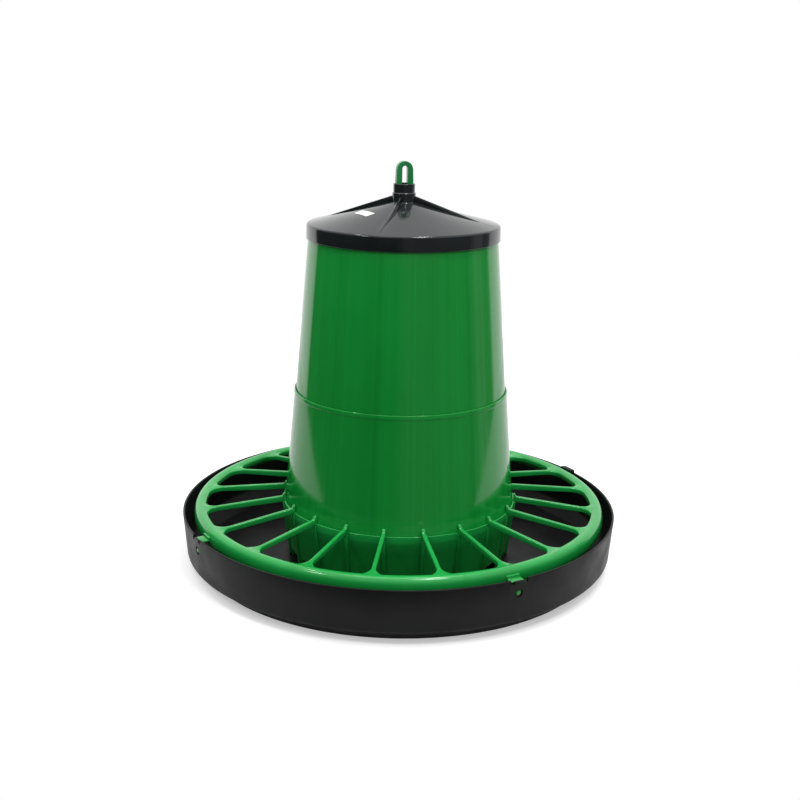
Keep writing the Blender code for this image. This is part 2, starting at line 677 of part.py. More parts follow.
def make_lid(parts, cutters, material):
    top_radius = LID_RADIUS - LID_DRAFT
    shoulder = LID_CONE_EDGE_RADIUS
    bore_foot = BOSS_FOOT - LID_WALL
    seat_inner = upper_radius(MOUTH) - HOPPER_WALL - LID_SEAT_MARGIN
    bore_round = 0.6 * MM
    shoulder_arc = [
        (shoulder + LID_SHOULDER * math.sin(t), LID_EDGE - LID_SHOULDER_DROP * (1 - math.cos(t)))
        for t in (0, math.pi / 6, math.pi / 3, math.pi / 2)
    ]
    profile = [
        (BOSS_RADIUS - bore_round, BOSS_TOP),
        (BOSS_RADIUS, BOSS_TOP - bore_round),
        (BOSS_RADIUS, BOSS_STEP),
        (BOSS_STEP_RADIUS, BOSS_STEP - bore_round),
        (BOSS_STEP_RADIUS, BOSS_FOOT),
        *shoulder_arc,
        (LID_RADIUS, LID_SKIRT_FOOT),
        (LID_RADIUS - LID_WALL, LID_SKIRT_FOOT),
        (top_radius - LID_WALL, LID_UNDER),
        (seat_inner, LID_UNDER),
        (seat_inner - LID_WALL / 2, lid_height(seat_inner) - LID_WALL),
        (BOSS_STEP_RADIUS, bore_foot),
        (BOSS_BORE, bore_foot),
        (BOSS_BORE, BOSS_TOP),
    ]
    mesh = turned_mesh("lid", profile, LID_STEPS)
    lid = add_object("lid", mesh, parts, material)
    rib = [
        (BOSS_BORE + 0.8 * MM, BOSS_FOOT + LID_RIB_HEIGHT),
        (BOSS_STEP_RADIUS, BOSS_FOOT + LID_RIB_HEIGHT),
        (LID_RIB_END, lid_height(LID_RIB_END)),
        (LID_RIB_END, lid_height(LID_RIB_END) - LID_WALL / 2),
        (BOSS_BORE + 0.8 * MM, lid_height(BOSS_BORE) - LID_WALL / 2),
    ]
    turns = [LID_RIB_TURN + k * 2 * math.pi / LID_RIBS for k in range(LID_RIBS)]
    ribs = radial_slabs("lid_ribs", rib, LID_RIB_THICKNESS / 2, turns)
    boolean(lid, "UNION", helper("lid_ribs", ribs, cutters))
    smooth(mesh)
    return lid


def make_label(parts, material):
    """A thin blank sticker bent to the lid's cone."""
    work = bmesh.new()
    bmesh.ops.create_grid(work, x_segments=6, y_segments=2, size=0.5)
    bmesh.ops.scale(work, vec=(LABEL_LENGTH, LABEL_WIDTH, 1), verts=work.verts)
    bmesh.ops.rotate(work, matrix=Matrix.Rotation(LABEL_TURN + LABEL_TWIST, 3, "Z"), verts=work.verts)
    bmesh.ops.translate(work, vec=bearing(LABEL_RADIUS, LABEL_TURN), verts=work.verts)
    for vert in work.verts:
        radius = math.hypot(vert.co.x, vert.co.y)
        vert.co.z = lid_height(radius) + LABEL_LIFT
    mesh = bpy.data.meshes.new("blank_label")
    work.to_mesh(mesh)
    work.free()
    label = add_object("blank_label", mesh, parts, material)
    solidify = label.modifiers.new("Solidify", "SOLIDIFY")
    solidify.thickness = LABEL_THICKNESS
    solidify.offset = 1
    return label


def loop_outline():
    """The hanging loop seen from its flat side: a tall arch that narrows a little upwards."""
    half = LOOP_WIDTH / 2
    top_half = LOOP_TOP_WIDTH / 2
    arch = arc((0, LOOP_TOP - top_half), top_half, 0, math.pi, 10)
    return [(-half, LOOP_ROOT), (half, LOOP_ROOT), (half, BOSS_TOP), *arch, (-half, BOSS_TOP)]


def slot_outline():
    half = LOOP_SLOT_WIDTH / 2
    head = arc((0, LOOP_TOP - LOOP_BAR - half), half, 0, math.pi, 8)
    foot = BOSS_TOP - LOOP_SLOT_BELOW_BOSS
    return [(-half, foot), (half, foot), *head]


def make_rod(parts, cutters, material):
    hub_plate_foot = SPREADER_TOP - HUB_PLATE
    foot_top = hub_plate_foot - SEAT_GAP
    foot_bottom = foot_top - ROD_FOOT_HEIGHT
    flange_foot = HUB_TOP + SEAT_GAP
    flange_top = flange_foot + ROD_FLANGE_HEIGHT
    neck = LOOP_ROOT - LOOP_NECK
    head = LOOP_THICKNESS / 2 - LOOP_EDGE / 2
    profile = [
        (0, LOOP_ROOT + 2 * MM),
        (head, LOOP_ROOT + 2 * MM),
        (LOOP_WIDTH / 2 - LOOP_EDGE, LOOP_ROOT),
        (ROD_RADIUS, neck),
        (ROD_RADIUS, flange_top + 2 * MM),
        (ROD_FLANGE_RADIUS, flange_top),
        (ROD_FLANGE_RADIUS, flange_foot),
        (ROD_RADIUS, flange_foot),
        (ROD_RADIUS, foot_bottom + 1 * MM),
        (ROD_RADIUS - 1 * MM, foot_bottom),
        (0, foot_bottom),
    ]
    mesh = turned_mesh("hanging_rod", profile, SMALL_STEPS)
    rod = add_object("hanging_rod", mesh, parts, material)

    upright = Matrix.Rotation(LOOP_TURN, 4, "Z") @ Matrix.Rotation(math.pi / 2, 4, "X")
    loop = slab_mesh("loop", [loop_outline()], LOOP_THICKNESS / 2, upright, LOOP_EDGE)
    boolean(rod, "UNION", helper("loop", loop, cutters))
    slot = slab_mesh("loop_slot", [slot_outline()], LOOP_THICKNESS, upright)
    boolean(rod, "DIFFERENCE", helper("loop_slot", slot, cutters))

    foot = box_mesh(
        "rod_foot",
        (-ROD_FOOT_LENGTH / 2, -ROD_FOOT_WIDTH / 2, foot_bottom),
        (ROD_FOOT_LENGTH / 2, ROD_FOOT_WIDTH / 2, foot_top),
    )
    foot.transform(Matrix.Rotation(LOOP_TURN, 4, "Z"))
    boolean(rod, "UNION", helper("rod_foot", foot, cutters))
    smooth(mesh)
    return rod


def main():
    clear_scene()
    parts = make_collection("poultry_feeder")
    cutters = make_collection("cutters", hidden=True)
    black = make_material("black_plastic", (0.012, 0.013, 0.013), 0.35)
    lid_black = make_material("lid_black_plastic", (0.016, 0.019, 0.020), 0.25)
    hopper_green = make_material("hopper_green_plastic", (0.006, 0.190, 0.026), 0.25)
    grille_green = make_material("grille_green_plastic", (0.010, 0.300, 0.060), 0.30)
    rod_green = make_material("rod_green_plastic", (0.010, 0.240, 0.060), 0.35)
    paper = make_material("label_paper", (0.85, 0.85, 0.85), 0.60)

    make_pan(parts, cutters, black)
    make_grille(parts, cutters, grille_green)
    make_hopper_lower(parts, hopper_green)
    make_hopper_upper(parts, hopper_green)
    make_lid(parts, cutters, lid_black)
    make_label(parts, paper)
    make_rod(parts, cutters, rod_green)


main()
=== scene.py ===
import math

import bmesh
import bpy
from mathutils import Matrix, Vector


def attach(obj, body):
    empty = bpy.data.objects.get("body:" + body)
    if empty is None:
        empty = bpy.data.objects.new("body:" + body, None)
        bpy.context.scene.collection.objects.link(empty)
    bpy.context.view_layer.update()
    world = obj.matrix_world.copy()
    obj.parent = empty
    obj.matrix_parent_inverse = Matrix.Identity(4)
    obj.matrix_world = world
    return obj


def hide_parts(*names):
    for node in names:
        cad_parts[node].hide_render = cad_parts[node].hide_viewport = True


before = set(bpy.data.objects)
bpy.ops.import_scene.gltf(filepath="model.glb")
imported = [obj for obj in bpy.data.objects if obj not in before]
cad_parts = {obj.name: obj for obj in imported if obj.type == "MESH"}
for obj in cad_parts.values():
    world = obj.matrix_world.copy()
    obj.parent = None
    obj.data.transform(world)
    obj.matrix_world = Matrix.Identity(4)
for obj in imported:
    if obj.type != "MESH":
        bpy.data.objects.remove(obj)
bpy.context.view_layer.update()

mm = 0.001
scene = bpy.context.scene
weldDistance = 0.001
foldAngle = 25
print("frame loaded")


# modelling helpers; sizes are in millimetres and corners are (radius, height, rounding)

def vertsOf(parts):
    return [part for part in parts if isinstance(part, bmesh.types.BMVert)]


def roundOff(bm, parts, rounding, segments, affect="EDGES", clamp=False):
    bmesh.ops.bevel(
        bm, geom=parts, offset=rounding * mm, offset_type="OFFSET", segments=segments,
        profile=0.5, affect=affect, clamp_overlap=clamp, material=-1,
    )


def drawOutline(bm, corners, closed=True, segments=4):
    verts = [bm.verts.new((radius * mm, 0, height * mm)) for radius, height, _ in corners]
    for i in range(0 if closed else 1, len(verts)):
        bm.edges.new((verts[i - 1], verts[i]))
    for vert, (_, _, rounding) in zip(verts, corners):
        if rounding:
            roundOff(bm, [vert], rounding, segments, "VERTICES")


def spunShell(corners, steps, closed=True, segments=4):
    bm = bmesh.new()
    drawOutline(bm, corners, closed, segments)
    bmesh.ops.spin(
        bm, geom=bm.verts[:] + bm.edges[:], cent=(0, 0, 0), axis=(0, 0, 1), dvec=(0, 0, 0),
        angle=2 * math.pi, steps=steps, use_merge=True, use_duplicate=False,
    )
    bmesh.ops.remove_doubles(bm, verts=bm.verts, dist=weldDistance * mm)
    bmesh.ops.recalc_face_normals(bm, faces=bm.faces)
    return bm


def meshObject(name, bm):
    mesh = bpy.data.meshes.new(name)
    bm.to_mesh(mesh)
    bm.free()
    piece = bpy.data.objects.new(name, mesh)
    scene.collection.objects.link(piece)
    return piece


def finishPiece(piece, material, body, nodes, sharpAngle=38):
    mesh = piece.data
    mesh.materials.clear()
    mesh.materials.append(material)
    for polygon in mesh.polygons:
        polygon.material_index = 0
    mesh.shade_smooth()
    mesh.set_sharp_from_angle(angle=math.radians(sharpAngle))
    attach(piece, body)
    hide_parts(*nodes)
    print("made", piece.name, len(mesh.polygons), "faces")


def joinSolid(piece, name, bm, operation):
    # adds a tool's shape to the piece or takes it away, then removes the tool
    tool = meshObject(name, bm)
    modifier = piece.modifiers.new("join", "BOOLEAN")
    modifier.operation = operation
    modifier.solver = "EXACT"
    modifier.object = tool
    graph = bpy.context.evaluated_depsgraph_get()
    shaped = bpy.data.meshes.new_from_object(piece.evaluated_get(graph))
    piece.modifiers.clear()
    old = piece.data
    shaped.name = old.name
    piece.data = shaped
    bpy.data.meshes.remove(old)
    bpy.data.objects.remove(tool, do_unlink=True)


def turnAll(bm, degrees, axis="Z"):
    matrix = Matrix.Rotation(math.radians(degrees), 3, axis)
    bmesh.ops.rotate(bm, cent=(0, 0, 0), matrix=matrix, verts=bm.verts)


def aroundAxis(bm, bearings):
    # copies what points to +X to each bearing, in degrees from the front (-Y) towards +X
    original = bm.verts[:] + bm.edges[:] + bm.faces[:]
    for bearing in bearings:
        verts = vertsOf(bmesh.ops.duplicate(bm, geom=original)["geom"])
        matrix = Matrix.Rotation(math.radians(bearing - 90), 3, "Z")
        bmesh.ops.rotate(bm, cent=(0, 0, 0), matrix=matrix, verts=verts)
    bmesh.ops.delete(bm, geom=vertsOf(original), context="VERTS")


def addBox(bm, low, high, rounding=0):
    bmesh.ops.create_cube(bm, size=1)
    bmesh.ops.scale(bm, vec=[(h - l) * mm for l, h in zip(low, high)], verts=bm.verts)
    bmesh.ops.translate(bm, vec=[(h + l) / 2 * mm for l, h in zip(low, high)], verts=bm.verts)
    if rounding:
        roundOff(bm, bm.edges[:], rounding, 3)


def addSlab(bm, outline, width, rounding):
    # an upright slab drawn in (radius, height), pointing to +X, with its folds rounded
    face = bm.faces.new([bm.verts.new((r * mm, -width / 2 * mm, z * mm)) for r, z in outline])
    pushed = vertsOf(bmesh.ops.extrude_face_region(bm, geom=[face])["geom"])
    bmesh.ops.translate(bm, vec=(0, width * mm, 0), verts=pushed)
    bmesh.ops.recalc_face_normals(bm, faces=bm.faces)
    edges = [edge for edge in bm.edges if edge.calc_face_angle(0) > math.radians(foldAngle)]
    roundOff(bm, edges, rounding, 2, clamp=True)


def addPin(bm, radius, inner, outer, height, segments, rounding=0):
    # a round pin that points to +X, with its outer rim rounded
    bmesh.ops.create_cone(
        bm, cap_ends=True, segments=segments, radius1=radius * mm, radius2=radius * mm,
        depth=(outer - inner) * mm,
    )
    if rounding:
        roundOff(bm, [e for e in bm.edges if all(v.co.z > 0 for v in e.verts)], rounding, 3)
    turnAll(bm, 90, "Y")
    bmesh.ops.translate(bm, vec=((inner + outer) / 2 * mm, 0, height * mm), verts=bm.verts)


# materials; a noise is (scale, detail, stretch, roughness) and a relief layer is
# (noise, strength, distance in metres)

noiseSpread = (0.35, 0.65)   # most of a noise's values lie between these


def newMaterial(name):
    material = bpy.data.materials.new(name)
    material.use_nodes = True
    tree = material.node_tree
    return material, tree, tree.nodes["Principled BSDF"]


def addNode(tree, kind, **settings):
    node = tree.nodes.new(kind)
    for key, value in settings.items():
        setattr(node, key, value)
    return node


def objectPlace(tree):
    return addNode(tree, "ShaderNodeTexCoord").outputs["Object"]


def addNoise(tree, vector, scale, detail, rough=0.5):
    noise = addNode(tree, "ShaderNodeTexNoise")
    noise.inputs["Scale"].default_value = scale
    noise.inputs["Detail"].default_value = detail
    noise.inputs["Roughness"].default_value = rough
    tree.links.new(vector, noise.inputs["Vector"])
    return noise.outputs["Fac"]


def noiseField(tree, scale, detail, stretch=(1, 1, 1), rough=0.5):
    mapping = addNode(tree, "ShaderNodeMapping")
    mapping.inputs["Scale"].default_value = stretch
    tree.links.new(objectPlace(tree), mapping.inputs["Vector"])
    return addNoise(tree, mapping.outputs["Vector"], scale, detail, rough)


def streakField(tree, scale, detail):
    # changes only with the bearing, so the streaks run straight up a tapered wall
    flat = addNode(tree, "ShaderNodeVectorMath", operation="MULTIPLY")
    flat.inputs[1].default_value = (1, 1, 0)
    unit = addNode(tree, "ShaderNodeVectorMath", operation="NORMALIZE")
    tree.links.new(objectPlace(tree), flat.inputs[0])
    tree.links.new(flat.outputs["Vector"], unit.inputs[0])
    return addNoise(tree, unit.outputs["Vector"], scale, detail)


def ramp(tree, value, stops):
    node = addNode(tree, "ShaderNodeValToRGB")
    elements = node.color_ramp.elements
    while len(elements) < len(stops):
        elements.new(0.5)
    for element, (place, colour) in zip(elements, stops):
        element.position = place
        element.color = (*colour, 1)
    tree.links.new(value, node.inputs["Fac"])
    return node.outputs["Color"]


def remap(tree, value, low, high, fromLow=0.0, fromHigh=1.0):
    node = addNode(tree, "ShaderNodeMapRange")
    node.inputs["From Min"].default_value = fromLow
    node.inputs["From Max"].default_value = fromHigh
    node.inputs["To Min"].default_value = low
    node.inputs["To Max"].default_value = high
    tree.links.new(value, node.inputs["Value"])
    return node.outputs["Result"]


def mixColour(tree, factor, first, second):
    node = addNode(tree, "ShaderNodeMix", data_type="RGBA")
    if isinstance(factor, float):
        node.inputs["Factor"].default_value = factor
    else:
        tree.links.new(factor, node.inputs["Factor"])
    for socket, value in ((node.inputs[6], first), (node.inputs[7], second)):
        if isinstance(value, tuple):
            socket.default_value = (*value, 1)
        else:
            tree.links.new(value, socket)
    return node.outputs[2]


def twoShades(tree, tone, look):
    start, end = look["toneRange"]
    return ramp(tree, tone, [(start, look["deep"]), (end, look["light"])])


def addRelief(tree, shader, layers):
    # later layers lie on the ones before
    previous = None
    for height, strength, distance in layers:
        bump = addNode(tree, "ShaderNodeBump")
        bump.inputs["Strength"].default_value = strength
        bump.inputs["Distance"].default_value = distance
        tree.links.new(height, bump.inputs["Height"])
        if previous:
            tree.links.new(previous.outputs["Normal"], bump.inputs["Normal"])
        previous = bump
    tree.links.new(previous.outputs["Normal"], shader.inputs["Normal"])


def finishPlastic(tree, shader, look, colour, sheen):
    tree.links.new(colour, shader.inputs["Base Color"])
    tree.links.new(remap(tree, sheen, *look["roughness"], *noiseSpread), shader.inputs["Roughness"])
    addRelief(tree, shader, [
        (noiseField(tree, *noise), strength, distance) for noise, strength, distance in look["relief"]
    ])
    shader.inputs["IOR"].default_value = look["ior"]


def hopperPlastic():
    look = {
        "deep": (0.004, 0.220, 0.026), "light": (0.008, 0.294, 0.041), "toneRange": (0.37, 0.63),
        "streaks": (26, 4), "bands": (3, 2), "bandShare": 0.45,
        "clouds": (9, 3, (1, 1, 0.6)), "cloudShare": 0.4, "roughness": (0.07, 0.13), "ior": 1.49,
        "relief": (((26, 2, (1, 1, 0.16)), 0.25, 0.0006), ((900, 2), 0.03, 0.0002)),
    }
    material, tree, shader = newMaterial("hopperGlossGreen")
    streaks = streakField(tree, *look["streaks"])
    tone = mixColour(tree, look["bandShare"], streaks, streakField(tree, *look["bands"]))
    tone = mixColour(tree, look["cloudShare"], tone, noiseField(tree, *look["clouds"]))
    finishPlastic(tree, shader, look, twoShades(tree, tone, look), streaks)
    return material


def grillePlastic():
    # painted shade: the colour turns darker low down, where little light comes
    look = {
        "deep": (0.009, 0.300, 0.050), "light": (0.014, 0.360, 0.068), "toneRange": (0.36, 0.64),
        "clouds": (16, 4, (1, 1, 1), 0.55), "sheen": (120, 4), "roughness": (0.10, 0.19), "ior": 1.49,
        # low is the colour of the painted shade
        "low": (0.004, 0.160, 0.018), "paintedShadeStrength": 0.75, "paintedShadeHeights": (0.048, 0.066),
        "relief": (((45, 2), 0.25, 0.0005), ((1200, 2), 0.04, 0.0002)),
    }
    material, tree, shader = newMaterial("grilleGlossGreen")
    colour = twoShades(tree, noiseField(tree, *look["clouds"]), look)
    # painted shade: the low colour is mixed in towards the bottom, by height
    split = addNode(tree, "ShaderNodeSeparateXYZ")
    tree.links.new(objectPlace(tree), split.inputs[0])
    depth = remap(tree, split.outputs["Z"], look["paintedShadeStrength"], 0.0, *look["paintedShadeHeights"])
    colour = mixColour(tree, depth, colour, look["low"])
    finishPlastic(tree, shader, look, colour, noiseField(tree, *look["sheen"]))
    return material


def rodPlastic():
    look = {
        "deep": (0.008, 0.190, 0.045), "light": (0.016, 0.260, 0.070), "toneRange": (0.36, 0.64),
        "clouds": (60, 3, (1, 1, 0.3)), "roughness": (0.22, 0.34), "ior": 1.49,
        "relief": (((300, 2), 0.06, 0.0003),),
    }
    material, tree, shader = newMaterial("rodGreen")
    clouds = noiseField(tree, *look["clouds"])
    finishPlastic(tree, shader, look, twoShades(tree, clouds, look), clouds)
    return material


def panPlastic():
    look = {
        "deep": (0.0036, 0.0040, 0.0039), "light": (0.0062, 0.0066, 0.0065), "toneRange": (0.36, 0.64),
        "clouds": (12, 4), "sheen": (40, 4), "roughness": (0.34, 0.46), "ior": 1.45, "specular": 0.2,
        "relief": (((30, 2, (1, 1, 0.3)), 0.2, 0.0004), ((1500, 2, (1, 1, 1), 0.6), 0.12, 0.0002)),
    }
    material, tree, shader = newMaterial("panSatinBlack")
    colour = twoShades(tree, noiseField(tree, *look["clouds"]), look)
    finishPlastic(tree, shader, look, colour, noiseField(tree, *look["sheen"]))
    shader.inputs["Specular IOR Level"].default_value = look["specular"]
    return material


def lidPlastic():
    look = {
        "deep": (0.008, 0.010, 0.011), "light": (0.012, 0.015, 0.016), "toneRange": (0.36, 0.64),
        "clouds": (14, 4), "sheen": (50, 4), "roughness": (0.07, 0.13), "ior": 1.5,
        "relief": (((35, 2), 0.1, 0.0003), ((1300, 2), 0.03, 0.0001)),
    }
    material, tree, shader = newMaterial("lidGlossBlack")
    colour = twoShades(tree, noiseField(tree, *look["clouds"]), look)
    finishPlastic(tree, shader, look, colour, noiseField(tree, *look["sheen"]))
    return material


def labelFilm():
    look = {
        "deep": (0.74, 0.74, 0.73), "light": (0.82, 0.82, 0.81), "toneRange": (0.3, 0.7),
        "fibres": (700, 4), "roughness": (0.45, 0.6), "bump": (0.1, 0.0001),
    }
    material, tree, shader = newMaterial("labelWhite")
    fibres = noiseField(tree, *look["fibres"])
    tree.links.new(twoShades(tree, fibres, look), shader.inputs["Base Color"])
    tree.links.new(remap(tree, fibres, *look["roughness"]), shader.inputs["Roughness"])
    addRelief(tree, shader, [(fibres, *look["bump"])])
    return material


hopperGreen = hopperPlastic()
grilleGreen = grillePlastic()
rodGreen = rodPlastic()
panBlack = panPlastic()
lidBlack = lidPlastic()
labelWhite = labelFilm()
print("materials ready")


# pan

pan = {
    "rim": (250.0, 62.3), "wallFoot": (245.95, 13.0), "wall": 2.4, "steps": 240,
    "chamferStep": (4.5, 0.2), "base": 227.8, "ringWidth": 5.0, "ringHeight": 2.2,
    "floorEdge": 229.0, "innerChamfer": (4.9, 1.6), "innerRoot": (2.05, 5.6),
    "coneFoot": 112.4, "coneTop": 60.3, "hub": 13.0, "hubFoot": 61.5, "hubTop": 68.3,
    "hubPlate": 3.0, "bore": 6.5,
    "frontClips": (29.4, -60.6), "notchWidth": 20.7, "notchDepth": 5.0, "notchEdge": 0.6,
    "tabWidth": 11.5, "tabDrop": 1.9, "wallCut": (240.0, 256.0), "rimCut": 8.0,
    "holeRadius": 4.7, "holeHeight": 46.8, "holeSides": 40,
    "rearClips": (119.4, 209.4), "lugWidth": 20.0, "lugTop": 65.6, "lugSetback": 0.4,
    "lugDepth": 6.5, "lugHeight": 2.9, "lugStem": (1.45, 0.75), "lugRoot": 6.0, "lugEdge": 0.35,
    "keyTurn": 12.0, "keyLength": 27.0, "keyWidth": 8.0, "keyCut": 3.0,
}


def cutNotches(shell, p):
    # each notch is two slots beside a lower tab of the wall
    rimZ = p["rim"][1]
    start, end = p["wallCut"]
    half, tab = p["notchWidth"] / 2, p["tabWidth"] / 2
    foot, tabTop, top = rimZ - p["notchDepth"], rimZ - p["tabDrop"], rimZ + p["rimCut"]
    outline = [
        (-half, foot), (-tab, foot), (-tab, tabTop), (tab, tabTop),
        (tab, foot), (half, foot), (half, top), (-half, top),
    ]
    bm = bmesh.new()
    face = bm.faces.new([bm.verts.new((start * mm, y * mm, z * mm)) for y, z in outline])
    pushed = vertsOf(bmesh.ops.extrude_face_region(bm, geom=[face])["geom"])
    bmesh.ops.translate(bm, vec=((end - start) * mm, 0, 0), verts=pushed)
    bmesh.ops.recalc_face_normals(bm, faces=bm.faces)
    through = [e for e in bm.edges if abs(e.verts[0].co.x - e.verts[1].co.x) > mm]
    roundOff(bm, through, p["notchEdge"], 3)
    aroundAxis(bm, p["frontClips"])
    joinSolid(shell, "notchTool", bm, "DIFFERENCE")


def makePan(p):
    rimR, rimZ = p["rim"]
    footR, footZ = p["wallFoot"]
    wall = p["wall"]
    floorZ = p["ringHeight"] + wall
    underPlate = p["coneTop"] - p["hubPlate"]
    ringInner = p["base"] - p["ringWidth"]
    stepIn, stepDown = p["chamferStep"]
    chamferIn, chamferUp = p["innerChamfer"]
    rootIn, rootUp = p["innerRoot"]
    corners = [
        (rimR, rimZ, 0.8),
        (footR, footZ, 4.2),
        (footR - stepIn, footZ - stepDown, 0.15),
        (p["base"], 0, 0.5),
        (ringInner, 0, 0.5),
        (ringInner - p["ringHeight"], p["ringHeight"], 0.8),
        (p["coneFoot"] - wall, p["ringHeight"], 3),
        (p["hub"] + wall, underPlate, 2),
        (p["bore"], underPlate, 0.3),
        (p["bore"], p["hubTop"], 0.4),
        (p["hub"], p["hubTop"], 0.8),
        (p["hub"], p["hubFoot"], 2),
        (p["coneFoot"], floorZ, 6),
        (p["floorEdge"], floorZ, 4),
        (footR - chamferIn, footZ + chamferUp, 1),
        (footR - rootIn, footZ + rootUp, 2),
        (rimR - wall, rimZ, 0.7),
    ]
    shell = meshObject("panShell", spunShell(corners, p["steps"]))
    cutNotches(shell, p)

    bm = bmesh.new()
    addPin(bm, p["holeRadius"], *p["wallCut"], p["holeHeight"], p["holeSides"])
    aroundAxis(bm, p["frontClips"])
    joinSolid(shell, "holeTool", bm, "DIFFERENCE")

    outer = rimR - p["lugSetback"]
    inner = outer - p["lugDepth"]
    stemInner, stemOuter = (outer - depth for depth in p["lugStem"])
    top, under, root = p["lugTop"], p["lugTop"] - p["lugHeight"], rimZ - p["lugRoot"]
    outline = [
        (inner, top), (inner, under), (stemInner, under), (stemInner, root),
        (stemOuter, root), (outer, rimZ), (outer, top),
    ]
    bm = bmesh.new()
    addSlab(bm, outline, p["lugWidth"], p["lugEdge"])
    aroundAxis(bm, p["rearClips"])
    joinSolid(shell, "lugTool", bm, "UNION")

    length, width = p["keyLength"] / 2, p["keyWidth"] / 2
    bm = bmesh.new()
    addBox(bm, (-length, -width, underPlate - p["keyCut"]), (length, width, p["hubTop"] + p["keyCut"]))
    turnAll(bm, p["keyTurn"] + 90)
    joinSolid(shell, "keyTool", bm, "DIFFERENCE")
    finishPiece(shell, panBlack, "base", ["pan"])


makePan(pan)


# the grille's ring and bars

grille = {
    "bars": 20, "firstBar": 29.4, "barWidth": 4.6, "barDepth": (6.9, 5.4),
    "edge": 1.25, "edgeTurns": (22, 45, 67, 90), "crest": 0.12, "underEdge": 0.6, "underBend": 0.3,
    "fillet": 14.0, "filletSteps": 12, "ringInner": 223.5, "ringSteps": 5, "joinRadius": 226.8,
    "innerEnd": 133.8, "innerTop": 76.8, "collarRadius": 135.0, "outerTop": 66.7, "crown": (230.25, 69.1),
    "tipTop": 80.0, "tipWidth": 3.8, "tipRun": 137.4, "tipTaper": (142.0, 7.0),
    "weld": 0.005, "sharpAngle": 50,
    "stations": (134.4, 134.9, 135.4, 135.9, 136.4, 137.2, 138.4, 141, 148, 160, 175, 190, 202),
    "ringRows": (
        (228.2, 68.85), (229.3, 69.03), (230.4, 69.06), (231.9, 68.82), (233.4, 68.15), (234.7, 67.0),
        (235.8, 65.3), (236.5, 63.3), (236.9, 61.0), (237.0, 58.6), (237.0, 53.8), (236.75, 53.25),
        (236.3, 53.1), (235.3, 53.1), (234.85, 53.25), (234.6, 53.8), (234.6, 61.8), (234.0, 64.2),
        (232.8, 65.9), (230.75, 66.7), (229.0, 66.4), (227.6, 65.2), (226.95, 63.6), (226.9, 61.6),
    ),
}


def barBearings(g):
    return [g["firstBar"] + k * 360 / g["bars"] for k in range(g["bars"])]


def alongBar(g, radius):
    return (radius - g["collarRadius"]) / (g["ringInner"] - g["collarRadius"])


def slopeHeight(g, radius):
    return g["innerTop"] + alongBar(g, radius) * (g["outerTop"] - g["innerTop"])


def barTop(g, radius):
    if radius <= g["ringInner"]:
        return slopeHeight(g, radius)
    crownR, crownZ = g["crown"]
    share = min(1.0, (radius - g["ringInner"]) / (crownR - g["ringInner"]))
    return g["outerTop"] + (crownZ - g["outerTop"]) * share * (2 - share)


def barFoot(g, radius):
    inner, outer = g["barDepth"]
    return slopeHeight(g, radius) - inner - alongBar(g, radius) * (outer - inner)


def tipRise(g, radius):
    # the small upright tip at the inner end of each bar
    if radius >= g["tipRun"]:
        return 0.0
    share = min(1.0, (g["tipRun"] - radius) / (g["tipRun"] - g["collarRadius"]))
    return (g["tipTop"] - g["innerTop"]) * share * share * (3 - 2 * share)


def pullRow(bm, row, places):
    # extrudes a row of vertices and moves the new ones to their places
    edges = [bm.edges.get((a, b)) for a, b in zip(row, row[1:])]
    fresh = set(vertsOf(bmesh.ops.extrude_edge_only(bm, edges=edges)["geom"]))
    pulled = []
    for vert, place in zip(row, places):
        new = next(e.other_vert(vert) for e in vert.link_edges if e.other_vert(vert) in fresh)
        new.co = Vector(place) * mm
        pulled.append(new)
    return pulled


def outlinePlaces(g, inset):
    # the edge of one head opening from the collar along a bar, round the fillet, to mid ring
    half = g["barWidth"] / 2
    fillet = g["fillet"]
    centreY = half + fillet
    reach = g["ringInner"] - fillet
    centreX = math.sqrt(reach * reach - centreY * centreY)
    swing = math.atan2(centreY, centreX)
    taperEnd, taperRun = g["tipTaper"]
    places = []
    for x in (g["innerEnd"], *g["stations"]):
        taper = max(0.0, min(1.0, (taperEnd - x) / taperRun))
        places.append((x, half - taper * (g["barWidth"] - g["tipWidth"]) / 2 - inset))
    radius = fillet + inset
    for i in range(g["filletSteps"] + 1):
        angle = -math.pi / 2 + (swing + math.pi / 2) * i / g["filletSteps"]
        places.append((centreX + radius * math.cos(angle), centreY + radius * math.sin(angle)))
    radius = g["ringInner"] + inset
    for i in range(1, g["ringSteps"] + 1):
        angle = swing + (math.pi / g["bars"] - swing) * i / g["ringSteps"]
        places.append((radius * math.cos(angle), radius * math.sin(angle)))
    return places


def boundaryPlaces(g):
    # the outline carried to the bar's middle line and to the ring's join circle
    outline = outlinePlaces(g, 0)
    stations = len(g["stations"]) + 1
    bend = g["filletSteps"] // 2
    join = g["joinRadius"]
    joinTop = barTop(g, join)
    start = outline[stations][0]
    startTop = barTop(g, start)
    endX, endY = outline[stations + g["filletSteps"]]
    swing = math.atan2(endY, endX)
    places = []
    for i, (x, y) in enumerate(outline):
        if i < stations:
            places.append((x, 0.0, barTop(g, x) + tipRise(g, x)))
        elif i <= stations + bend:
            share = (i - stations) / bend
            places.append((start + (join - start) * share, 0.0, startTop + (joinTop - startTop) * share))
        else:
            share = min(1.0, (i - stations - bend) / bend)
            angle = math.atan2(y, x) if share == 1.0 else share * swing
            places.append((join * math.cos(angle), join * math.sin(angle), joinTop))
    return places, stations + bend


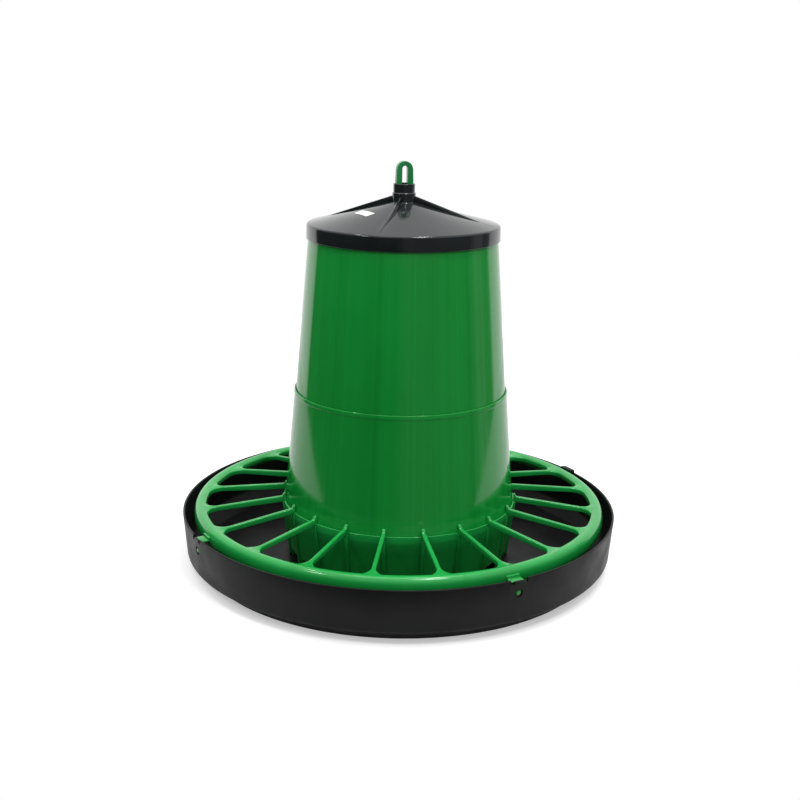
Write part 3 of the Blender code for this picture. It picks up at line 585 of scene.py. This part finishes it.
def makeGrilleBars(g):
    bm = bmesh.new()
    edge, under, bend = g["edge"], g["underEdge"], g["underBend"]

    def raised(places, drop):
        heights = [barTop(g, math.hypot(x, y)) + tipRise(g, math.hypot(x, y)) for x, y in places]
        return [(x, y, height - drop) for (x, y), height in zip(places, heights)]

    def sunk(places, lift):
        return [(place[0], place[1], barFoot(g, math.hypot(*place[:2])) + lift) for place in places]

    start = [bm.verts.new(Vector(place) * mm) for place in raised(outlinePlaces(g, 0), edge)]
    for a, b in zip(start, start[1:]):
        bm.edges.new((a, b))
    row = start
    for degrees in g["edgeTurns"]:
        t = math.radians(degrees)
        inset, drop = edge * (1 - math.cos(t)), edge * (1 - math.sin(t))
        row = pullRow(bm, row, raised(outlinePlaces(g, inset), drop))
    boundary, corner = boundaryPlaces(g)
    row = pullRow(bm, row, [(x, y, z + g["crest"]) for x, y, z in boundary])
    ringRow = row[corner:]
    ringPlaces = boundary[corner:]
    for radius, height in g["ringRows"]:
        scale = radius / g["joinRadius"]
        ringRow = pullRow(bm, ringRow, [(x * scale, y * scale, height) for x, y, _ in ringPlaces])

    row = pullRow(bm, start, sunk(outlinePlaces(g, 0), under))
    row = pullRow(bm, row, sunk(outlinePlaces(g, under * bend), under * bend))
    row = pullRow(bm, row, sunk(outlinePlaces(g, under), 0))
    row = pullRow(bm, row, sunk(boundary, 0))
    underRow = row[corner:]
    for i in range(len(ringRow) - 1):   # the ring's inner flange closes on the bars' underside
        bm.faces.new((ringRow[i], ringRow[i + 1], underRow[i + 1], underRow[i]))

    geometry = bm.verts[:] + bm.edges[:] + bm.faces[:]
    bmesh.ops.mirror(bm, geom=geometry, matrix=Matrix(), merge_dist=-1, axis="Y")
    aroundAxis(bm, barBearings(g))
    bmesh.ops.remove_doubles(bm, verts=bm.verts, dist=g["weld"] * mm)
    bmesh.ops.holes_fill(bm, edges=[e for e in bm.edges if e.is_boundary], sides=0)
    bmesh.ops.recalc_face_normals(bm, faces=bm.faces)
    piece = meshObject("grilleBars", bm)
    finishPiece(piece, grilleGreen, "base", ["grille"], g["sharpAngle"])


makeGrilleBars(grille)


# the grille's collar and feed drum

drum = {
    "collar": (135.0, 133.3), "collarTop": 71.3, "collarFoot": (134.65, 63.4),
    "ledge": 64.9, "ledgeInner": 129.7,
    "waist": (131.6, 49.3), "foot": (126.8, 4.9), "wall": 2.4, "steps": 240,
    "ribWidth": 3.6, "ribDepth": 2.4, "ribTop": ((134.0, 69.5), (136.6, 69.0)), "ribLift": 0.4,
    "ribEdge": 0.4,
    "windowWidth": 27.0, "windowHeight": 11.0, "windowCorner": 3.0, "windowCut": (12.0, 30.0),
}


def makeDrum(d, g):
    outer, inner = d["collar"]
    waistR, waistZ = d["waist"]
    footR, footZ = d["foot"]
    wall = d["wall"]
    corners = [
        (outer, d["collarTop"], 0.5),
        (*d["collarFoot"], 1.0),
        (waistR, waistZ, 3),
        (footR, footZ, 0.4),
        (footR - wall, footZ, 0.4),
        (waistR - wall, waistZ, 3),
        (d["ledgeInner"], d["ledge"] - wall, 0.6),
        (d["ledgeInner"], d["ledge"], 0.4),
        (inner, d["ledge"], 0.3),
        (inner, d["collarTop"], 0.5),
    ]
    shell = meshObject("grilleDrum", spunShell(corners, d["steps"]))

    ribFoot = footZ + d["ribLift"]
    outline = [
        *d["ribTop"], (waistR + d["ribDepth"], waistZ), (footR + d["ribDepth"], ribFoot),
        (footR - wall / 2, ribFoot), (waistR - wall / 2, waistZ),
    ]
    bm = bmesh.new()
    addSlab(bm, outline, d["ribWidth"], d["ribEdge"])
    aroundAxis(bm, barBearings(g))
    joinSolid(shell, "ribTool", bm, "UNION")

    half = d["windowWidth"] / 2
    depth, drop = d["windowCut"]
    top = footZ + d["windowHeight"]
    bm = bmesh.new()
    addBox(bm, (footR - depth, -half, top - drop), (footR + depth, half, top))
    upper = [
        e for e in bm.edges
        if all(v.co.z > (top - 1) * mm for v in e.verts) and abs(e.verts[0].co.y - e.verts[1].co.y) < mm
    ]
    roundOff(bm, upper, d["windowCorner"], 5)
    aroundAxis(bm, [bearing + 180 / g["bars"] for bearing in barBearings(g)])
    joinSolid(shell, "windowTool", bm, "DIFFERENCE")
    finishPiece(shell, grilleGreen, "base", ["grille"])


makeDrum(drum, grille)


# the grille's clip tongues and rear tabs

clips = {
    "rootRadius": 235.6, "tongueWidth": 15.5, "tongueTop": (62.7, 62.6), "tongueFoot": (57.5, 58.7),
    "stepRadius": (238.9, 239.1), "ledgeTop": (59.7, 59.4), "tongueEnd": 246.6, "tongueEdge": 0.45,
    "leg": (241.6, 244.0), "legTop": 59.0, "legFoot": 42.2, "legWidth": 10.0, "legEdge": 0.4,
    "studRadius": 2.7, "studReach": (242.6, 248.5), "studHeight": 47.1, "studSides": 36, "studEdge": 0.6,
    "tabTop": 62.4, "tabFoot": 59.4, "tabEnd": 247.0, "tabEdge": 0.5,
}


def makeClips(c, p):
    root, end = c["rootRadius"], c["tongueEnd"]
    rootTop, stepTop = c["tongueTop"]
    rootFoot, endFoot = c["tongueFoot"]
    stepUpper, stepLower = c["stepRadius"]
    ledgeTop, endTop = c["ledgeTop"]
    outline = [
        (root, rootTop), (root, rootFoot), (end, endFoot), (end, endTop),
        (stepLower, ledgeTop), (stepUpper, stepTop),
    ]
    bm = bmesh.new()
    addSlab(bm, outline, c["tongueWidth"], c["tongueEdge"])
    aroundAxis(bm, p["frontClips"])
    tongues = meshObject("clipTongues", bm)

    inner, outer = c["leg"]
    outline = [(inner, c["legTop"]), (inner, c["legFoot"]), (outer, c["legFoot"]), (outer, c["legTop"])]
    bm = bmesh.new()
    addSlab(bm, outline, c["legWidth"], c["legEdge"])
    aroundAxis(bm, p["frontClips"])
    joinSolid(tongues, "legTool", bm, "UNION")

    bm = bmesh.new()
    addPin(bm, c["studRadius"], *c["studReach"], c["studHeight"], c["studSides"], c["studEdge"])
    aroundAxis(bm, p["frontClips"])
    joinSolid(tongues, "studTool", bm, "UNION")

    half = c["tongueWidth"] / 2
    bm = bmesh.new()
    addBox(bm, (root, -half, c["tabFoot"]), (c["tabEnd"], half, c["tabTop"]), c["tabEdge"])
    aroundAxis(bm, p["rearClips"])
    joinSolid(tongues, "tabTool", bm, "UNION")
    finishPiece(tongues, grilleGreen, "base", ["grille"])


makeClips(clips, pan)


# hopper

lower = {
    "foot": (132.9, 65.2), "flare": (133.5, 71.9), "flareEdge": 0.5, "skirtTop": (131.5, 82.2),
    "seam": (120.9, 201.8), "band": (0.4, 4.5), "lipInner": 119.7,
    "ledge": 187.5, "ledgeInner": 117.6, "ledgeNose": 2.0, "ledgeDepth": 4.0, "wall": 1.7, "steps": 256,
}
upper = {"seam": (119.3, 201.8), "foot": 187.8, "mouth": (104.03, 385.1), "wall": 1.7, "steps": 256}


def makeHopperLower(h):
    footR, footZ = h["foot"]
    flareR, flareZ = h["flare"]
    skirtR, skirtZ = h["skirtTop"]
    seamR, seamZ = h["seam"]
    proud, bandHeight = h["band"]
    wall = h["wall"]
    taper = (skirtR - seamR) / (seamZ - skirtZ)
    bandFoot = seamZ - bandHeight
    flareFoot = flareZ - h["flareEdge"]
    ledgeFoot = h["ledge"] - h["ledgeDepth"]
    corners = [
        (seamR + proud, seamZ, 0.5),
        (seamR + bandHeight * taper + proud, bandFoot, 0.3),
        (seamR + (bandHeight + proud) * taper, bandFoot - proud, 0.3),
        (skirtR, skirtZ, 2.5),
        (flareR, flareZ, 0.25),
        (flareR, flareFoot, 0.15),
        (footR, flareFoot, 0.1),
        (footR, footZ, 0.4),
        (footR - wall, footZ, 0.4),
        (footR - wall, flareZ, 1),
        (skirtR - wall, skirtZ, 1),
        (seamR + (seamZ - ledgeFoot) * taper - wall, ledgeFoot, 1),
        (h["ledgeInner"], h["ledge"] - h["ledgeNose"], 0.5),
        (h["ledgeInner"], h["ledge"], 0.3),
        (h["lipInner"], h["ledge"], 0.3),
        (h["lipInner"], seamZ, 0.5),
    ]
    piece = meshObject("hopperLowerShell", spunShell(corners, h["steps"]))
    finishPiece(piece, hopperGreen, "hopper", ["hopper_lower"])


def makeHopperUpper(h):
    seamR, seamZ = h["seam"]
    mouthR, mouthZ = h["mouth"]
    wall = h["wall"]
    corners = [
        (mouthR, mouthZ, 0.5),
        (seamR, seamZ, 2),
        (seamR, h["foot"], 0.4),
        (seamR - wall, h["foot"], 0.4),
        (seamR - wall, seamZ, 2),
        (mouthR - wall, mouthZ, 0.5),
    ]
    piece = meshObject("hopperUpperShell", spunShell(corners, h["steps"]))
    finishPiece(piece, hopperGreen, "upper_section", ["hopper_upper"])


makeHopperLower(lower)
makeHopperUpper(upper)


# lid and label

lid = {
    "skirtFoot": (107.4, 371.8), "edge": (106.9, 387.75), "shoulder": 2.0, "coneEdge": (104.7, 388.3),
    "bossFoot": (12.9, 411.3), "bossStep": (422.0, 421.4), "bossTop": (11.9, 431.6), "bore": 10.0,
    "wall": 1.6, "seat": (101.5, 385.4), "seatInner": 100.7, "steps": 240,
    "ribs": 4, "ribTurn": -14.5, "ribRoot": 10.8, "ribEnd": 86.6, "ribHeight": 7.0, "ribSink": 1.1,
    "ribWidth": 2.4, "ribEdge": 0.45,
}


def lidHeight(k, radius):
    coneEdge, edgeZ = k["coneEdge"]
    bossR, bossZ = k["bossFoot"]
    return edgeZ + (coneEdge - radius) * (bossZ - edgeZ) / (coneEdge - bossR)


def makeLid(k):
    skirtR, skirtZ = k["skirtFoot"]
    edgeR, edgeZ = k["edge"]
    seatR, seatZ = k["seat"]
    bossR, bossZ = k["bossFoot"]
    topR, topZ = k["bossTop"]
    stepUpper, stepLower = k["bossStep"]
    wall = k["wall"]
    corners = [
        (topR, topZ, 0.7),
        (topR, stepUpper, 0.4),
        (bossR, stepLower, 0.5),
        (bossR, bossZ, 1.0),
        (edgeR, edgeZ, k["shoulder"]),
        (skirtR, skirtZ, 0.6),
        (skirtR - wall, skirtZ, 0.6),
        (edgeR - wall, seatZ, 0.4),
        (seatR, seatZ, 0.3),
        (k["seatInner"], lidHeight(k, seatR) - wall, 0.3),
        (bossR, bossZ - wall, 0),
        (k["bore"], bossZ - wall, 0.4),
        (k["bore"], topZ, 0.6),
    ]
    shell = meshObject("lidShell", spunShell(corners, k["steps"]))

    end, root, top = k["ribEnd"], k["ribRoot"], bossZ + k["ribHeight"]
    outline = [
        (root, top), (bossR, top), (end, lidHeight(k, end)), (end, lidHeight(k, end) - k["ribSink"]),
        (root, lidHeight(k, k["bore"]) - k["ribSink"]),
    ]
    bm = bmesh.new()
    addSlab(bm, outline, k["ribWidth"], k["ribEdge"])
    aroundAxis(bm, [k["ribTurn"] + i * 360 / k["ribs"] for i in range(k["ribs"])])
    joinSolid(shell, "lidRibTool", bm, "UNION")
    finishPiece(shell, lidBlack, "cover", ["lid"])


makeLid(lid)

# the label keeps its solid and only gets its material
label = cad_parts["blank_label"]
for materialSlot in label.material_slots:
    materialSlot.link = "OBJECT"
    materialSlot.material = labelWhite
print("label dressed")


# hanging rod

rod = {
    "radius": 6.0, "steps": 64, "flange": 11.0, "flangeFoot": 68.6, "flangeTop": 71.6, "flangeRise": 2.0,
    "footTop": 57.0, "footBottom": 52.0, "footLength": 26.0, "footWidth": 7.0, "footEdge": 0.6,
    "neck": 401.6, "root": 411.6, "shank": (3.1, 413.6), "bossTop": 431.6, "top": 455.7,
    "width": 18.8, "topWidth": 17.2, "thickness": 8.4, "edge": 2.2, "turn": 12.0,
    "slot": 6.2, "slotFoot": 418.6, "slotTop": 450.8, "slotCorner": 0.6, "slotEdge": 0.9,
    "roundGap": 0.05, "slotMargin": 0.4, "rimAngle": 60, "flatness": 0.01,
}


def addLoop(bm, r):
    # the flat loop and its slot, upright in the X-Z plane
    half, topHalf, slot = r["width"] / 2, r["topWidth"] / 2, r["slot"] / 2
    topRound, slotRound = topHalf - r["roundGap"], slot - r["roundGap"]
    drawOutline(bm, [
        (-half, r["root"], 0), (half, r["root"], 0), (half, r["bossTop"], 0),
        (topHalf, r["top"], topRound), (-topHalf, r["top"], topRound), (-half, r["bossTop"], 0),
    ])
    drawOutline(bm, [
        (-slot, r["slotFoot"], r["slotCorner"]), (slot, r["slotFoot"], r["slotCorner"]),
        (slot, r["slotTop"], slotRound), (-slot, r["slotTop"], slotRound),
    ])
    bmesh.ops.bridge_loops(bm, edges=bm.edges[:])
    pushed = vertsOf(bmesh.ops.extrude_face_region(bm, geom=bm.faces[:])["geom"])
    bmesh.ops.translate(bm, vec=(0, r["thickness"] * mm, 0), verts=pushed)
    bmesh.ops.translate(bm, vec=(0, -r["thickness"] / 2 * mm, 0), verts=bm.verts)
    bmesh.ops.recalc_face_normals(bm, faces=bm.faces)

    side = (slot + r["slotMargin"]) * mm
    foot, top = (r["slotFoot"] - r["slotMargin"]) * mm, (r["slotTop"] + r["slotMargin"]) * mm

    def besideSlot(e):
        return all(abs(v.co.x) <= side and foot <= v.co.z <= top for v in e.verts)

    def aroundFace(e):
        level = abs(e.verts[0].co.y - e.verts[1].co.y) < r["flatness"] * mm
        return level and e.calc_face_angle(0) > math.radians(r["rimAngle"])

    rims = [e for e in bm.edges if aroundFace(e)]
    slotRims = [e for e in rims if besideSlot(e)]
    roundOff(bm, [e for e in rims if not besideSlot(e)], r["edge"], 5, clamp=True)
    roundOff(bm, [e for e in slotRims if e.is_valid], r["slotEdge"], 3, clamp=True)


def makeRod(r):
    radius = r["radius"]
    shankR, shankZ = r["shank"]
    corners = [
        (0, shankZ, 0),
        (shankR, shankZ, 0),
        (r["width"] / 2 - r["edge"], r["root"], 1),
        (radius, r["neck"], 2),
        (radius, r["flangeTop"] + r["flangeRise"], 1.5),
        (r["flange"], r["flangeTop"], 0.6),
        (r["flange"], r["flangeFoot"], 0.6),
        (radius, r["flangeFoot"], 0.2),
        (radius, r["footBottom"], 1),
        (0, r["footBottom"], 0),
    ]
    piece = meshObject("rodLoop", spunShell(corners, r["steps"], closed=False, segments=3))

    bm = bmesh.new()
    addLoop(bm, r)
    turnAll(bm, r["turn"])
    joinSolid(piece, "loopTool", bm, "UNION")

    length, width = r["footLength"] / 2, r["footWidth"] / 2
    bm = bmesh.new()
    addBox(bm, (-length, -width, r["footBottom"]), (length, width, r["footTop"]), r["footEdge"])
    turnAll(bm, r["turn"])
    joinSolid(piece, "footTool", bm, "UNION")
    finishPiece(piece, rodGreen, "rod", ["hanging_rod"])


makeRod(rod)


# floor, light and camera, in metres; a bearing is in degrees from the front towards +X
# a lamp is ((bearing, height in degrees, distance), size, watts) and a glint (place, size, watts)

studio = {
    "floorRadius": 0.86, "floorFront": -0.335, "floorSides": 96, "floorColour": (0.74, 0.74, 0.74),
    "floorRoughness": 0.9, "floorSpecular": 0.1, "floorLift": 0.40,
    "aim": (0, 0, 0.2),
    "lamps": {
        "keyRight": ((24, 54, 1.7), (0.34, 0.16), 6.5),
        "fillLeft": ((-50, 42, 1.7), (0.22, 0.16), 3),
        "topSoft": ((0, 89, 1.9), (1.2, 1.2), 8),
    },
    "glints": (((0.37, -0.17, 1.87), (0.34, 0.10), 4.5), ((-0.86, 0.03, 1.87), (0.20, 0.10), 2.2)),
    "lowLevels": (
        (-180, 0.95), (-130, 1.35), (-124, 1.2), (-121, 0.06), (-6, 0.04), (5, 0.2), (84, 0.13),
        (91, 0.4), (103, 0.42), (107, 0.15), (118, 0.2), (123, 1.2), (180, 0.95),
    ),
    "highLevels": ((-180, 1.1), (-124, 1.1), (-90, 0.6), (-10, 0.8), (90, 0.95), (124, 1.1), (180, 1.1)),
    "skyLevel": 1.15, "highBlend": (8, 28), "skyBlend": (38, 52),
}
camera = {
    "place": (-0.00056, -1.3099, 0.5521), "pitch": 15.631, "roll": 0.989, "lens": 53.27, "sensor": 36,
}


def seenDirectly(tree):
    # 1 for rays from the camera, straight or through something clear
    path = addNode(tree, "ShaderNodeLightPath")
    seen = addNode(tree, "ShaderNodeMath", operation="MAXIMUM")
    tree.links.new(path.outputs["Is Camera Ray"], seen.inputs[0])
    tree.links.new(path.outputs["Is Transmission Ray"], seen.inputs[1])
    return seen.outputs[0]


def makeFloor(s):
    # the floor glows a little for the camera only, so it fades into the white behind it
    bm = bmesh.new()
    bmesh.ops.create_circle(bm, cap_ends=True, segments=s["floorSides"], radius=s["floorRadius"])
    bmesh.ops.translate(bm, vec=(0, s["floorFront"] + s["floorRadius"], 0), verts=bm.verts)
    floor = meshObject("paleFloor", bm)
    material, tree, shader = newMaterial("paleFloorFinish")
    shader.inputs["Base Color"].default_value = (*s["floorColour"], 1)
    shader.inputs["Roughness"].default_value = s["floorRoughness"]
    shader.inputs["Specular IOR Level"].default_value = s["floorSpecular"]
    scaled = addNode(tree, "ShaderNodeMath", operation="MULTIPLY")
    tree.links.new(seenDirectly(tree), scaled.inputs[0])
    scaled.inputs[1].default_value = s["floorLift"]
    lift = addNode(tree, "ShaderNodeEmission")
    lift.inputs["Color"].default_value = (1, 1, 1, 1)
    tree.links.new(scaled.outputs[0], lift.inputs["Strength"])
    both = addNode(tree, "ShaderNodeAddShader")
    tree.links.new(shader.outputs[0], both.inputs[0])
    tree.links.new(lift.outputs[0], both.inputs[1])
    tree.links.new(both.outputs[0], tree.nodes["Material Output"].inputs["Surface"])
    floor.data.materials.append(material)


def lampPlace(s, bearing, height, distance):
    azimuth, rise = math.radians(bearing), math.radians(height)
    level = distance * math.cos(rise)
    offset = Vector((level * math.sin(azimuth), -level * math.cos(azimuth), distance * math.sin(rise)))
    return Vector(s["aim"]) + offset


def addLamp(s, name, place, size, power):
    data = bpy.data.lights.new(name, "AREA")
    data.shape = "RECTANGLE"
    data.size, data.size_y = size
    data.energy = power
    lamp = bpy.data.objects.new(name, data)
    scene.collection.objects.link(lamp)
    lamp.location = place
    lamp.rotation_euler = (Vector(s["aim"]) - place).to_track_quat("-Z", "Y").to_euler()


def makeWorld(s):
    # grey levels by bearing, low and high: white round the back, dim in front, a paler strip on the right
    world = bpy.data.worlds.new("studioWorld")
    scene.world = world
    world.use_nodes = True
    tree = world.node_tree
    background = tree.nodes["Background"]
    coordinates = addNode(tree, "ShaderNodeTexCoord")
    split = addNode(tree, "ShaderNodeSeparateXYZ")
    tree.links.new(coordinates.outputs["Generated"], split.inputs[0])
    flip = addNode(tree, "ShaderNodeMath", operation="MULTIPLY")
    flip.inputs[1].default_value = -1
    tree.links.new(split.outputs["Y"], flip.inputs[0])
    turn = addNode(tree, "ShaderNodeMath", operation="ARCTAN2")
    tree.links.new(split.outputs["X"], turn.inputs[0])
    tree.links.new(flip.outputs[0], turn.inputs[1])
    bearing = remap(tree, turn.outputs[0], 0, 1, -math.pi, math.pi)

    def levels(stops):
        return ramp(tree, bearing, [((degrees + 180) / 360, (level,) * 3) for degrees, level in stops])

    def above(low, high):
        # 0 under the first height in degrees, 1 over the second
        start, end = math.sin(math.radians(low)), math.sin(math.radians(high))
        return remap(tree, split.outputs["Z"], 0, 1, start, end)

    mixed = mixColour(tree, above(*s["highBlend"]), levels(s["lowLevels"]), levels(s["highLevels"]))
    mixed = mixColour(tree, above(*s["skyBlend"]), mixed, (s["skyLevel"],) * 3)
    final = mixColour(tree, seenDirectly(tree), mixed, (1.0, 1.0, 1.0))
    tree.links.new(final, background.inputs["Color"])
    background.inputs["Strength"].default_value = 1.0


def makeCamera(c):
    data = bpy.data.cameras.new("photoCamera")
    data.lens = c["lens"]
    data.sensor_width = c["sensor"]
    data.sensor_fit = "HORIZONTAL"
    view = bpy.data.objects.new("photoCamera", data)
    scene.collection.objects.link(view)
    tilt = Matrix.Rotation(math.radians(90 - c["pitch"]), 4, "X")
    roll = Matrix.Rotation(math.radians(c["roll"]), 4, "Z")
    view.matrix_world = Matrix.Translation(c["place"]) @ tilt @ roll
    scene.camera = view


makeFloor(studio)
for name, (direction, size, power) in studio["lamps"].items():
    addLamp(studio, name, lampPlace(studio, *direction), size, power)
for i, (place, size, power) in enumerate(studio["glints"]):
    addLamp(studio, "glint" + str(i), Vector(place), size, power)
makeWorld(studio)
makeCamera(camera)
scene.view_settings.view_transform = "Standard"
print("stage ready")
